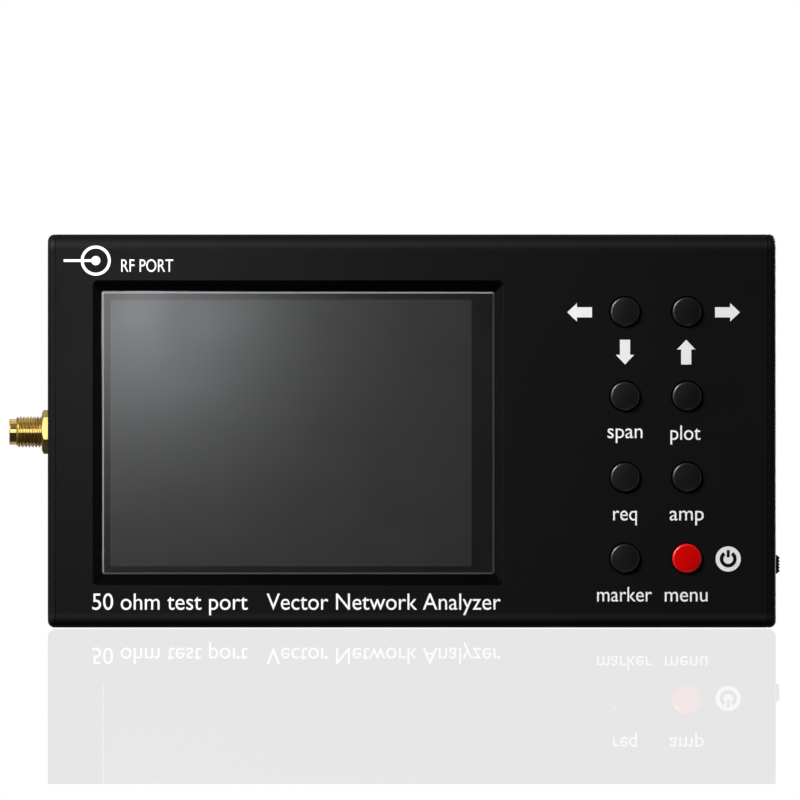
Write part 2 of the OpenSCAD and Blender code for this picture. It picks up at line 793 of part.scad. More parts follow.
module key_switch_bases() {
    well_l = plunger_in + key_travel + 0.2;
    color([0.25, 0.25, 0.26]) for (column = [0, 1], row = [0:3]) difference() {
        block([key_x(column) - switch_w / 2, switch_front_y, key_z(row) - switch_w / 2],
              [key_x(column) + switch_w / 2, board_front_y, key_z(row) + switch_w / 2]);
        rod_y(key_x(column), switch_front_y - cut, key_z(row), cut + well_l, plunger_r + 0.1);
    }
}

black_key = [0.12, 0.12, 0.12];
red_key = [0.75, 0.02, 0.03];

case_body();
left_end_cap();
right_end_cap();
cap_screws(-1);  // left_cap_screws
cap_screws(1);  // right_cap_screws
touch_glass();
display_gasket();
lcd_polariser();
lcd_panel();
lcd_backlight();
lcd_frame();
lcd_ribbon();
ribbon_socket();
display_spacers();
main_board();
processor_chip();
board_chips();
passive_parts();
rf_chips();
rf_shield_fence();
rf_shield_cover();
sma_shell();
sma_lock_washer();
sma_nut();
sma_dielectric();
sma_contact();
battery_cell();
battery_tape();
battery_guard_board();
battery_leads();
battery_plug();
battery_socket();
usb_shell();
usb_tongue();
charge_light_pipe();
charge_led();
slide_switch_body();
slide_switch_knob();
slide_switch_contact();
key_switch_bases();
key_cap(0, 3, black_key);  // left_key
key_cap(1, 3, black_key);  // right_key
key_cap(0, 2, black_key);  // span_key
key_cap(1, 2, black_key);  // plot_key
key_cap(0, 1, black_key);  // freq_key
key_cap(1, 1, black_key);  // amp_key
key_cap(0, 0, black_key);  // marker_key
key_cap(1, 0, red_key);  // menu_key
key_plunger(0, 3);  // left_key_plunger
key_plunger(1, 3);  // right_key_plunger
key_plunger(0, 2);  // span_key_plunger
key_plunger(1, 2);  // plot_key_plunger
key_plunger(0, 1);  // freq_key_plunger
key_plunger(1, 1);  // amp_key_plunger
key_plunger(0, 0);  // marker_key_plunger
key_plunger(1, 0);  // menu_key_plunger
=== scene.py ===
"""Looks of the hand-held vector network analyser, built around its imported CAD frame."""

import json
import math

import bmesh
import bpy
from mathutils import Matrix, Vector


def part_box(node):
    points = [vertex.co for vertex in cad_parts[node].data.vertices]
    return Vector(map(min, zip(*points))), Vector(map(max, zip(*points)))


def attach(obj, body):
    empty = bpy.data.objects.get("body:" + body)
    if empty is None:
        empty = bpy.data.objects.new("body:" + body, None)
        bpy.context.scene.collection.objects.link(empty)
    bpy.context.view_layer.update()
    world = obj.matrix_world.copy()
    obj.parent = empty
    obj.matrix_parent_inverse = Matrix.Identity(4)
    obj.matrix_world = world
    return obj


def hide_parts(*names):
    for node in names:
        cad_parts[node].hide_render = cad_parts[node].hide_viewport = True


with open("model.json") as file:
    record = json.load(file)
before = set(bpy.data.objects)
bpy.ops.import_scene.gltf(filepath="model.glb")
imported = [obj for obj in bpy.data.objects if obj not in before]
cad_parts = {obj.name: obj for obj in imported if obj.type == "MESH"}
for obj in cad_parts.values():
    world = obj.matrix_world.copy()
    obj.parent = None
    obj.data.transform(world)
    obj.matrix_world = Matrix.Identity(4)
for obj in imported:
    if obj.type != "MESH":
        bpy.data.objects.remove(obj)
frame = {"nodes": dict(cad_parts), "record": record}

for name in ("Cube", "Light", "Camera"):  # what Blender starts with
    if name in bpy.data.objects:
        bpy.data.objects.remove(bpy.data.objects[name])
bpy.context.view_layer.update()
MM = 0.001
BODY = "case"

# ---------------------------------------------------------------- places, from the frame

case_low, case_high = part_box("case_body")
glass_low, glass_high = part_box("touch_glass")
lit_low, lit_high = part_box("lcd_polariser")
jack_low, jack_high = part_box("sma_shell")
nut_low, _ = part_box("sma_nut")
KEYS = ["left", "right", "span", "plot", "freq", "amp", "marker", "menu"]
KEY_MIDDLE = {}
for key in KEYS:
    key_low, key_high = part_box(key + "_key")
    KEY_MIDDLE[key] = (key_low + key_high) / 2
key_low, key_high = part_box("left_key")  # all eight keycaps have its size and depth
COLLAR_REACH = 0.85 * MM
KEY_GAP = 0.2 * MM
KEY_COLLAR_R = (key_high.x - key_low.x) / 2
KEY_R = KEY_COLLAR_R - COLLAR_REACH
KEY_HOLE_R = KEY_R + KEY_GAP
FRONT = case_low.y
PORT_Z = (jack_low.z + jack_high.z) / 2


# ---------------------------------------------------------------- mesh helpers

SHARP = math.radians(28)  # edges that turn by more than this stay sharp
WELD = 1e-7  # points of one piece that are nearer than this are one point
TURN_STEPS = 96  # points on a ring of a turned shape


def mesh_from(name, bm):
    """Turns a bmesh into a mesh and frees it."""
    mesh = bpy.data.meshes.new(name)
    bm.to_mesh(mesh)
    bm.free()
    return mesh


def in_scene(name, data):
    """Puts a mesh, a curve, a light or a camera into the scene as a new object."""
    obj = bpy.data.objects.new(name, data)
    bpy.context.scene.collection.objects.link(obj)
    return obj


def closed_up(bm, weld):
    """Joins points that coincide and turns the faces outwards."""
    bmesh.ops.remove_doubles(bm, verts=bm.verts, dist=weld)
    bmesh.ops.recalc_face_normals(bm, faces=bm.faces)


def piece_from(name, bm, body, materials, node, sharp=SHARP):
    """Turns a bmesh into a piece that stands for a CAD node: smooth faces, and sharp edges above an angle."""
    closed_up(bm, WELD)
    for face in bm.faces:
        face.smooth = True
    for edge in bm.edges:
        edge.smooth = len(edge.link_faces) == 2 and edge.calc_face_angle() < sharp
    obj = in_scene(name, mesh_from(name, bm))
    for look in materials:
        obj.data.materials.append(look)
    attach(obj, body)
    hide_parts(node)
    return obj


def loft(bm, rings, caps=True, look=lambda band: 0):
    """Joins closed rings of points, each with the same count, by quads. look(i) gives band i's material."""
    rows = [[bm.verts.new(point) for point in ring] for ring in rings]
    count = len(rows[0])
    for band in range(len(rows) - 1):
        a, b = rows[band], rows[band + 1]
        for k in range(count):
            face = bm.faces.new((a[k], a[(k + 1) % count], b[(k + 1) % count], b[k]))
            face.material_index = look(band)
    if caps:
        bm.faces.new(rows[0][::-1]).material_index = look(-1)
        bm.faces.new(rows[-1]).material_index = look(len(rows) - 1)


def turned(profile, origin, axis, steps=TURN_STEPS):
    """Rings of a profile of (radius, place along the axis), turned round the Y or X axis through origin."""
    rings = []
    for radius, along in profile:
        ring = []
        for k in range(steps):
            angle = 2 * math.pi * k / steps
            u, v = radius * math.cos(angle), radius * math.sin(angle)
            if axis == "y":
                ring.append(Vector((origin[0] + u, along, origin[2] + v)))
            else:
                ring.append(Vector((along, origin[1] + u, origin[2] + v)))
        rings.append(ring)
    return rings


def arc(cx, cy, radius, start, end, steps):
    """Points on an arc, angles in degrees."""
    out = []
    for k in range(steps + 1):
        angle = math.radians(start + (end - start) * k / steps)
        out.append((cx + radius * math.cos(angle), cy + radius * math.sin(angle)))
    return out


def circle(radius, steps=48):
    """Points on a circle around (0, 0)."""
    return arc(0, 0, radius, 0, 360 - 360 / steps, steps - 1)


def round_rect(cx, cy, w, h, r, steps=6):
    """The outline of a rectangle with round corners."""
    out = []
    for sx, sy, start in ((1, 1, 0), (-1, 1, 90), (-1, -1, 180), (1, -1, 270)):
        out += arc(cx + sx * (w / 2 - r), cy + sy * (h / 2 - r), r, start, start + 90, steps)
    return out


def rounded_corner(a, b, c, radius, steps):
    """Points that round the corner b of the path a, b, c, in two dimensions."""
    a, b, c = Vector(a), Vector(b), Vector(c)
    u, v = (a - b).normalized(), (c - b).normalized()
    half = math.acos(max(-1, min(1, u.dot(v)))) / 2
    reach = radius / math.tan(half)
    middle = b + (u + v).normalized() * (radius / math.sin(half))
    p, q = b + u * reach - middle, b + v * reach - middle
    turn = math.atan2(p.x * q.y - p.y * q.x, p.dot(q))
    out = []
    for k in range(steps + 1):
        s, t = math.sin(turn * k / steps), math.cos(turn * k / steps)
        out.append((middle.x + p.x * t - p.y * s, middle.y + p.x * s + p.y * t))
    return out


def along_x(outline, x):
    """An outline in Y and Z, placed at x."""
    return [Vector((x, y, z)) for y, z in outline]


def helper_from(name, bm):
    """A helper object for boolean work, which carved() removes."""
    closed_up(bm, WELD / 10)
    return in_scene(name, mesh_from(name, bm))


def carved(base, cutters):
    """Subtracts each cutter from base and returns the result as a bmesh. All helpers are removed."""
    for cutter in cutters:
        cut = base.modifiers.new("cut", "BOOLEAN")
        cut.operation = "DIFFERENCE"
        cut.solver = "EXACT"
        cut.object = cutter
    bpy.context.view_layer.update()
    done = base.evaluated_get(bpy.context.evaluated_depsgraph_get())
    bm = bmesh.new()
    bm.from_mesh(done.to_mesh())
    for helper in [base, *cutters]:
        bpy.data.objects.remove(helper)
    return bm


def flat_shading_kept(obj):
    """Keeps large flat faces flat in shading, next to their rounded edges."""
    weighted = obj.modifiers.new("weighted", "WEIGHTED_NORMAL")
    weighted.keep_sharp = True
    weighted.weight = 100


# ---------------------------------------------------------------- materials

NOISE_SPAN = (0.3, 0.7)  # nearly all of a noise's values are between these
SMUDGE = 9 * MM  # size of the slow smudges
IOR = 1.5
COAT_ROUGH = 0.1


def material(name, colour, rough, metal=0.0, specular=0.5, coat=0.0):
    """A Principled material. Returns the material and its shader node."""
    made = bpy.data.materials.new(name)
    made.use_nodes = True
    shader = made.node_tree.nodes["Principled BSDF"]
    shader.inputs["Base Color"].default_value = (*colour, 1)
    shader.inputs["Roughness"].default_value = rough
    shader.inputs["Metallic"].default_value = metal
    shader.inputs["Specular IOR Level"].default_value = specular
    shader.inputs["IOR"].default_value = IOR
    shader.inputs["Coat Weight"].default_value = coat
    shader.inputs["Coat Roughness"].default_value = COAT_ROUGH
    return made, shader


def noise(made, size, detail=4.0, stretch=(1, 1, 1)):
    """A noise of the given grain size in metres, in object space. Returns its output socket."""
    nodes, links = made.node_tree.nodes, made.node_tree.links
    place = nodes.new("ShaderNodeTexCoord")
    scaled = nodes.new("ShaderNodeMapping")
    scaled.inputs["Scale"].default_value = stretch
    texture = nodes.new("ShaderNodeTexNoise")
    texture.inputs["Scale"].default_value = 1 / size
    texture.inputs["Detail"].default_value = detail
    links.new(place.outputs["Object"], scaled.inputs["Vector"])
    links.new(scaled.outputs["Vector"], texture.inputs["Vector"])
    return texture.outputs["Fac"]


def colour_ramp(made, source, stops, interpolation="LINEAR"):
    """Looks a value up in a ramp of (place, colour) stops. Returns the colour's socket."""
    node = made.node_tree.nodes.new("ShaderNodeValToRGB")
    ramp = node.color_ramp
    ramp.interpolation = interpolation
    for place, _ in stops[1:-1]:
        ramp.elements.new(place)
    for element, (place, colour) in zip(ramp.elements, stops):
        element.position = place
        element.color = (*colour, 1)
    made.node_tree.links.new(source, node.inputs["Fac"])
    return node.outputs["Color"]


def smudged(made, shader, low, high):
    """Slow smudges in roughness, between two values."""
    remap = made.node_tree.nodes.new("ShaderNodeMapRange")
    for socket, value in zip(("From Min", "From Max", "To Min", "To Max"), (*NOISE_SPAN, low, high)):
        remap.inputs[socket].default_value = value
    made.node_tree.links.new(noise(made, SMUDGE, detail=3.0), remap.inputs["Value"])
    made.node_tree.links.new(remap.outputs["Result"], shader.inputs["Roughness"])


def bumped(made, shader, source, height):
    """Bump of the given height in metres."""
    bump = made.node_tree.nodes.new("ShaderNodeBump")
    bump.inputs["Strength"].default_value = 1.0
    bump.inputs["Distance"].default_value = height
    made.node_tree.links.new(source, bump.inputs["Height"])
    made.node_tree.links.new(bump.outputs["Normal"], shader.inputs["Normal"])


def textured(name, colour, rough, grain=0.2 * MM, height=0.004 * MM, vary=0.12, rough_vary=0.06,
             stretch=(1, 1, 1), **more):
    """The common finish: a fine grain in colour and bump, and slow smudges in roughness."""
    made, shader = material(name, colour, rough, **more)
    fine = noise(made, grain, stretch=stretch)
    shades = [[channel * share for channel in colour] for share in (1 - vary, 1 + vary)]
    grained = colour_ramp(made, fine, list(zip(NOISE_SPAN, shades)))
    made.node_tree.links.new(grained, shader.inputs["Base Color"])
    smudged(made, shader, rough - rough_vary, rough + rough_vary)
    bumped(made, shader, fine, height)
    return made


def case_finish():
    """Black anodised aluminium: fine grain, slow smudges, and a painted highlight as a lighter band along
    each long edge.
    """
    made, shader = material("case_black_satin", (0.003, 0.003, 0.0031), 0.55, specular=0.085)
    nodes, links = made.node_tree.nodes, made.node_tree.links
    fine = noise(made, 0.16 * MM)
    smudged(made, shader, 0.52, 0.58)
    bumped(made, shader, fine, 0.008 * MM)
    place, split = nodes.new("ShaderNodeTexCoord"), nodes.new("ShaderNodeSeparateXYZ")
    links.new(place.outputs["Object"], split.inputs["Vector"])
    height_share = nodes.new("ShaderNodeMapRange")
    height_share.inputs["From Min"].default_value = case_low.z
    height_share.inputs["From Max"].default_value = case_high.z
    links.new(split.outputs["Z"], height_share.inputs["Value"])

    # painted highlight: a lighter band along the lower and the upper long edge, stronger at the lower one,
    # between the plain edge and the plain face; the outermost rounding is a little darker than the face
    height = case_high.z - case_low.z
    middle, reach = 2.05 * MM / height, 1.3 * MM / height
    edge, face, low_highlight, high_highlight = 0.0026, 0.003, 0.0125, 0.0078
    levels = [(0, edge), (middle - reach, edge), (middle, low_highlight), (middle + reach, face),
              (1 - middle - reach, face), (1 - middle, high_highlight), (1 - middle + reach, edge), (1, edge)]
    blue_share = 1.03
    stops = [(at, (level, level, level * blue_share)) for at, level in levels]
    painted_highlight = colour_ramp(made, height_share.outputs["Result"], stops, "EASE")
    grain = colour_ramp(made, fine, [(NOISE_SPAN[0], (0.8, 0.8, 0.8)), (NOISE_SPAN[1], (1.2, 1.2, 1.2))])
    mottled = nodes.new("ShaderNodeMix")
    mottled.data_type = "RGBA"
    mottled.blend_type = "MULTIPLY"
    mottled.inputs["Factor"].default_value = 1.0
    colour_a, colour_b, colour_out = mottled.inputs[6], mottled.inputs[7], mottled.outputs[2]
    links.new(painted_highlight, colour_a)
    links.new(grain, colour_b)
    links.new(colour_out, shader.inputs["Base Color"])
    return made


CASE = case_finish()
BEVEL = textured("bevel_black", (0.0012, 0.0012, 0.0013), 0.6, grain=0.12 * MM, height=0.003 * MM,
                 specular=0.008)
# a lighter copy of the bevel finish for the window slopes that face left or right: painted light from the
# sides; the top and bottom slopes keep the darker one
BEVEL_SIDE_PAINTED_LIGHT = textured("bevel_black_side", (0.003, 0.003, 0.0031), 0.5, grain=0.12 * MM, height=0.003 * MM,
                      specular=0.04)
KEY_BLACK = textured("key_black_satin", (0.002, 0.002, 0.0022), 0.32, grain=0.1 * MM, height=0.0015 * MM,
                     specular=0.62, rough_vary=0.02)
KEY_RED = textured("key_red_satin", (0.53, 0.0004, 0.0005), 0.45, grain=0.1 * MM, height=0.002 * MM,
                   vary=0.05, specular=0.03)
KEY_RED_EDGE = textured("key_red_edge", (0.53, 0.0005, 0.0006), 0.34, grain=0.1 * MM, height=0.002 * MM,
                        vary=0.05, specular=0.52, rough_vary=0.02)
PRINT = textured("legend_print", (0.82, 0.82, 0.82), 0.6, grain=0.08 * MM, height=0.001 * MM, vary=0.05)
PRINT_BROAD = textured("legend_broad_print", (0.74, 0.74, 0.74), 0.6, grain=0.08 * MM, height=0.001 * MM,
                       vary=0.05)
PRINT_BLACK = textured("legend_black", (0.003, 0.003, 0.003), 0.6, grain=0.08 * MM, height=0.001 * MM,
                       specular=0.1)
SCREEN_LIT = textured("screen_lit_area", (0.0157, 0.0157, 0.0157), 0.36, grain=0.06 * MM,
                      height=0.0006 * MM, rough_vary=0.02)
SCREEN_EDGE = textured("screen_border", (0.002, 0.002, 0.0022), 0.36, grain=0.06 * MM, height=0.0006 * MM,
                       rough_vary=0.02, specular=0.42)
SCREEN_RIM = textured("glass_edge_ground", (0.2, 0.205, 0.21), 0.5, grain=0.05 * MM, height=0.002 * MM)
GOLD = textured("gold_plate", (0.92, 0.67, 0.22), 0.12, grain=0.12 * MM, height=0.0006 * MM, vary=0.06,
                rough_vary=0.03, metal=1.0, stretch=(0.2, 1, 1))
# rougher and much darker than the gold: painted shade on the thread's flanks and the other faces tilted along
# the axis
GOLD_FLANK_SHADED = textured("gold_plate_flanks", (0.38, 0.25, 0.05), 0.45, grain=0.12 * MM, height=0.002 * MM,
                      vary=0.08, metal=1.0)
PTFE = textured("ptfe_white", (0.82, 0.82, 0.79), 0.45)
SCREW = textured("screw_black_oxide", (0.02, 0.02, 0.022), 0.38, metal=0.6)
STEEL = textured("tinned_steel", (0.62, 0.62, 0.63), 0.3, metal=1.0, stretch=(0.15, 1, 1))
SWITCH = textured("switch_nylon", (0.011, 0.011, 0.012), 0.42)
CHIP = textured("chip_epoxy", (0.018, 0.018, 0.02), 0.5)
BOARD = textured("board_mask", (0.015, 0.12, 0.05), 0.3, coat=0.4)
FOAM = textured("black_foam", (0.015, 0.015, 0.015), 0.9, grain=0.4 * MM, height=0.05 * MM)
FILM = textured("dark_film", (0.02, 0.02, 0.022), 0.2)
GUIDE = textured("light_guide", (0.8, 0.81, 0.82), 0.4)
AMBER = textured("amber_film", (0.5, 0.26, 0.05), 0.3)
CREAM = textured("cream_plastic", (0.75, 0.7, 0.6), 0.5)
CERAMIC = textured("tan_ceramic", (0.27, 0.19, 0.12), 0.5)
FOIL = textured("cell_laminate", (0.55, 0.56, 0.58), 0.35, metal=0.8, grain=1.5 * MM, height=0.03 * MM)
TAPE = textured("foam_tape", (0.72, 0.71, 0.65), 0.7)
WIRE = textured("wire_red", (0.5, 0.015, 0.015), 0.4)
PIPE = textured("light_pipe", (0.8, 0.83, 0.82), 0.35, coat=0.5)

SLOT_LOOKS = {
    "case_black": CASE, "screw_black": SCREW, "touch_glass": SCREEN_EDGE, "gasket_foam": FOAM,
    "polariser_film": FILM, "panel_glass": FILM, "backlight_white": GUIDE, "bright_steel": STEEL,
    "ribbon_film": AMBER, "connector_plastic": CREAM, "board_green": BOARD, "chip_black": CHIP,
    "passive_brown": CERAMIC, "gold_plate": GOLD, "ptfe_white": PTFE, "cell_foil": FOIL,
    "tape_cream": TAPE, "guard_amber": AMBER, "lead_red": WIRE, "light_pipe_clear": PIPE,
    "switch_black": SWITCH, "key_black": KEY_BLACK, "key_red": KEY_RED, "switch_base": CHIP,
    "plunger_grey": CHIP,
}
for row in frame["record"]["subparts"]:
    node = frame["nodes"][row["node"]]
    for holder in node.material_slots:
        holder.material = SLOT_LOOKS[row["material_slot"]]


# ---------------------------------------------------------------- case

WALL = 2 * MM
EDGE_R = 3 * MM
LIP = 0.12 * MM  # radius of the small lips on the case's ends and round its openings
BEVEL_X = 1.8 * MM
BEVEL_Z = 2.2 * MM
BEVEL_LIP = 0.5 * MM
SCREW_INSET = 4.6 * MM
SCREW_HOLE_R = 1.3 * MM
PAST = 1 * MM  # how far a cutter stands out of what it cuts
DEEP = 3 * MM  # how far the cutters for the front reach behind it


def case_outline(inset):
    """Outline of the case in Y and Z, smaller by an inset on every side."""
    w = case_high.y - case_low.y - 2 * inset
    h = case_high.z - case_low.z - 2 * inset
    return round_rect(0, (case_low.z + case_high.z) / 2, w, h, EDGE_R - inset, steps=20)


def cavity_outline():
    """Outline of the hollow in Y and Z. The ribs of the board slots and the screw channels stand in it."""
    low_y, high_y = case_low.y + WALL, case_high.y - WALL
    low_z, high_z = case_low.z + WALL, case_high.z - WALL
    board_low, board_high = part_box("main_board")
    rib_t, rib_h, slack = 1 * MM, 1.8 * MM, 0.1 * MM
    channel_r, channel_in = 2.8 * MM, 2.6 * MM
    start = math.degrees(math.atan2(-channel_in, math.sqrt(channel_r ** 2 - channel_in ** 2)))
    before, behind = board_low.y - slack, board_high.y + slack
    floor = []
    for y0, y1 in ((before - rib_t, before), (behind, behind + rib_t)):
        floor += [(y0, low_z), (y0, low_z + rib_h), (y1, low_z + rib_h), (y1, low_z)]
    left = arc(low_y + channel_in, low_z + channel_in, channel_r, 90 - start, start, steps=16)
    right = [(low_y + high_y - y, z) for y, z in left[::-1]]
    lower = left + floor + right
    upper = [(y, low_z + high_z - z) for y, z in lower[::-1]]
    return lower + upper


def window_cutter():
    """The bevelled window: a lip at the front face, the slope, a small lip at the glass, and the wall."""
    slope_d = glass_low.y - FRONT
    gap, corner_r, corner_growth = 0.12 * MM, 0.5 * MM, 0.25
    on_face, at_face, at_glass = (3 * BEVEL_Z, 0), (BEVEL_Z, 0), (0, slope_d)
    front_lip = rounded_corner(on_face, at_face, at_glass, BEVEL_LIP, steps=6)
    glass_lip = rounded_corner(at_face, at_glass, (0, DEEP), LIP, steps=4)
    path = [(front_lip[0][0], -PAST)] + front_lip + glass_lip + [(0, DEEP)]
    centre = (glass_low + glass_high) / 2
    size = glass_high - glass_low
    rings = []
    for offset, depth in path:
        w = size.x + 2 * (gap + offset * BEVEL_X / BEVEL_Z)
        h = size.z + 2 * (gap + offset)
        outline = round_rect(centre.x, centre.z, w, h, corner_r + corner_growth * offset)
        rings.append([Vector((x, FRONT + depth, z)) for x, z in outline])
    bm = bmesh.new()
    loft(bm, rings)
    return helper_from("window_cutter", bm)


def key_cutter():
    """Eight round holes with rounded lips."""
    bm = bmesh.new()
    for middle in KEY_MIDDLE.values():
        lip = arc(KEY_HOLE_R + LIP, FRONT + LIP, LIP, 270, 180, steps=6)
        profile = [(KEY_HOLE_R + LIP, FRONT - PAST)] + lip + [(KEY_HOLE_R, FRONT + DEEP)]
        loft(bm, turned(profile, middle, "y"))
    return helper_from("key_cutter", bm)


def screw_cutter():
    """Four round holes along the case, in its screw channels."""
    bm = bmesh.new()
    profile = [(SCREW_HOLE_R, case_low.x - PAST), (SCREW_HOLE_R, case_high.x + PAST)]
    for y in (case_low.y + SCREW_INSET, case_high.y - SCREW_INSET):
        for z in (case_low.z + SCREW_INSET, case_high.z - SCREW_INSET):
            loft(bm, turned(profile, (0, y, z), "x", steps=32))
    return helper_from("screw_cutter", bm)


def hollow_cutter():
    """The case's hollow, from end to end."""
    bm = bmesh.new()
    cavity = cavity_outline()
    loft(bm, [along_x(cavity, case_low.x - PAST), along_x(cavity, case_high.x + PAST)])
    return helper_from("hollow", bm)


def make_case():
    """The extruded case: rounded ends, hollow, screw channels, bevelled window and key holes."""
    bm = bmesh.new()
    rings = []
    lip = arc(0, 0, LIP, 0, 90, steps=4)
    for out, up in lip:
        rings.append(along_x(case_outline(LIP - up), case_low.x + LIP - out))
    for out, up in lip[::-1]:
        rings.append(along_x(case_outline(LIP - up), case_high.x - LIP + out))
    loft(bm, rings)
    blank = helper_from("case_blank", bm)
    bm = carved(blank, [hollow_cutter(), screw_cutter(), window_cutter(), key_cutter()])
    plain, slope, painted_light_slope = 0, 1, 2
    margin, skin, past_wall = BEVEL_Z + 0.3 * MM, 0.02 * MM, 0.1 * MM
    for face in bm.faces:
        middle = face.calc_center_median()
        sloped = FRONT + skin < middle.y < FRONT + WALL + past_wall
        beside = (glass_low.x - margin < middle.x < glass_high.x + margin
                  and glass_low.z - margin < middle.z < glass_high.z + margin)
        upright = abs(face.normal.x) > 0.4 and abs(face.normal.z) < 0.1
        # slopes that face left or right get the lighter copy of the bevel finish, as painted light
        if sloped and beside:
            face.material_index = painted_light_slope if upright else slope
        else:
            face.material_index = plain
    shell = piece_from("case_shell", bm, BODY, [CASE, BEVEL, BEVEL_SIDE_PAINTED_LIGHT], "case_body")
    flat_shading_kept(shell)


# ---------------------------------------------------------------- screen

def make_screen():
    """The touch glass: a ground rim, a dark printed border, and the display's area behind it."""
    rim, rim_depth, corner_r, least_r = 0.36 * MM, 0.3 * MM, 0.6 * MM, 0.1 * MM
    lit_corner_r = 0.3 * MM
    centre = (glass_low + glass_high) / 2
    w, h = glass_high.x - glass_low.x, glass_high.z - glass_low.z

    def ring(inset, y):
        """The glass's outline at a depth, smaller by an inset."""
        r = max(corner_r - inset, least_r)
        outline = round_rect(centre.x, centre.z, w - 2 * inset, h - 2 * inset, r)
        return [Vector((x, y, z)) for x, z in outline]

    lit = (lit_low + lit_high) / 2
    outline = round_rect(lit.x, lit.z, lit_high.x - lit_low.x, lit_high.z - lit_low.z, lit_corner_r)
    rings = [ring(0, glass_high.y), ring(0, glass_low.y + rim_depth), ring(rim, glass_low.y)]
    rings.append([Vector((x, glass_low.y, z)) for x, z in outline])
    border, lit_area, ground = 0, 1, 2
    bm = bmesh.new()
    loft(bm, rings, look=lambda band: {1: ground, 3: lit_area}.get(band, border))
    looks = [SCREEN_EDGE, SCREEN_LIT, SCREEN_RIM]
    glass = piece_from("screen_glass", bm, BODY, looks, "touch_glass")
    flat_shading_kept(glass)


# ---------------------------------------------------------------- keys

def make_key(key):
    """A keycap: a shallow dome, a rounded edge, a collar behind the wall and a stem."""
    dome, dome_steps, edge_r, edge_steps = 0.16 * MM, 12, 0.5 * MM, 10
    collar_y, collar_t, stem_r, tip_r = FRONT + WALL + 0.1 * MM, 0.8 * MM, 1.6 * MM, 0.001 * MM
    top = key_low.y
    tilt = math.atan(2 * dome / (KEY_R - edge_r))
    dome_r = KEY_R - edge_r * (1 - math.sin(tilt))
    profile = [(tip_r, top)]
    for k in range(1, dome_steps + 1):
        share = k / dome_steps
        profile.append((dome_r * share, top + dome * share ** 2))
    edge_y = top + dome + edge_r * math.cos(tilt)
    profile += arc(KEY_R - edge_r, edge_y, edge_r, math.degrees(tilt) - 90, 0, edge_steps)[1:]
    profile += [(KEY_R, collar_y), (KEY_COLLAR_R, collar_y), (KEY_COLLAR_R, collar_y + collar_t),
                (stem_r, collar_y + collar_t), (stem_r, key_high.y)]
    bm = bmesh.new()
    loft(bm, turned(profile, KEY_MIDDLE[key], "y"))
    slot, looks = "key_black", [KEY_BLACK]
    if key == "menu":
        slot, looks = "key_red", [KEY_RED, KEY_RED_EDGE]
        for face in bm.faces:
            middle = face.calc_center_median() - KEY_MIDDLE[key]
            face.material_index = 1 if math.hypot(middle.x, middle.z) > dome_r else 0
    cap = piece_from(key + "_keycap", bm, key + "_key", looks, key + "_key")
    flat_shading_kept(cap)


# ---------------------------------------------------------------- test port

PITCH = 25.4 / 36 * MM
THREAD_R = 3.175 * MM
ROOT_R = THREAD_R - 0.34 * MM
NOSE_R = 2.65 * MM
CREST_HALF, ROOT_HALF = 0.14, 0.12  # half the width of a crest and of a root, as shares of the pitch
LEAD_SLOPE = 1.2  # how steeply the first turn rises from the nose
LEAD_IN = 0.1 * MM  # how far before the thread's start that rise begins


def thread_radius(x, angle, start):
    """Radius of the thread's surface at a place along the axis and an angle. A crest is at phase 0."""
    phase = ((x - start) / PITCH - angle / (2 * math.pi)) % 1
    share = (abs(phase - 0.5) - ROOT_HALF) / (0.5 - CREST_HALF - ROOT_HALF)
    share = max(0, min(1, share))
    lead = NOSE_R + max(0, x - start + LEAD_IN) * LEAD_SLOPE
    return min(ROOT_R + (THREAD_R - ROOT_R) * share, lead)


def add_jack_core(bm):
    """The turned part of the jack: bore, mouth, smooth nose, neck under the thread, flange and tail."""
    bore_r, mouth_r, mouth_l = 2.07 * MM, 2.32 * MM, 1.95 * MM
    lip, lip_r, nose_edge_r = 0.15 * MM, 0.15 * MM * 0.9, 0.18 * MM
    neck_r, flange_r, flange_t, tail_r = 2.8 * MM, 4.4 * MM, 1.5 * MM, 2.75 * MM
    tip, neck_x, flange_x = jack_low.x, nut_low.x + 1 * MM, case_low.x + 0.5 * MM
    profile = [(bore_r, jack_high.x), (bore_r, tip + mouth_l), (mouth_r, tip + mouth_l)]
    profile += arc(mouth_r + lip_r, tip + lip, lip_r, 180, 270, steps=3)
    profile += arc(NOSE_R - nose_edge_r, tip + nose_edge_r, nose_edge_r, -90, 0, steps=6)
    profile += [(NOSE_R, neck_x), (neck_r, neck_x)]
    profile += [(neck_r, flange_x), (flange_r, flange_x), (flange_r, flange_x + flange_t),
                (tail_r, flange_x + flange_t), (tail_r, jack_high.x)]
    rings = turned(profile, (0, 0, PORT_Z), "x")
    loft(bm, rings + [rings[0]], caps=False)


def add_thread(bm):
    """The thread: rows of points along the jack that follow the helix and are held between its two ends."""
    start = jack_low.x + 1.45 * MM
    end = nut_low.x + 0.4 * MM
    marks = (0, CREST_HALF, 0.5 - ROOT_HALF, 0.5 + ROOT_HALF, 1 - CREST_HALF)
    turns = int((end - start) / PITCH) + 2
    rows = []
    for k in range(TURN_STEPS):
        angle = 2 * math.pi * k / TURN_STEPS
        row = []
        for turn in range(-2, turns + 1):
            for mark in marks:
                x = start + PITCH * (turn + mark + angle / (2 * math.pi))
                x = min(max(x, start), end)
                r = thread_radius(x, angle, start)
                row.append(bm.verts.new((x, r * math.cos(angle), PORT_Z + r * math.sin(angle))))
        rows.append(row)
    for k, here in enumerate(rows):
        last = k == TURN_STEPS - 1
        there, shift = (rows[0], len(marks)) if last else (rows[k + 1], 0)
        for i in range(len(here) - 1 - len(marks)):
            quad = (here[i], here[i + 1], there[i + 1 + shift], there[i + shift])
            if len({tuple(v.co) for v in quad}) > 2:
                bm.faces.new(quad)


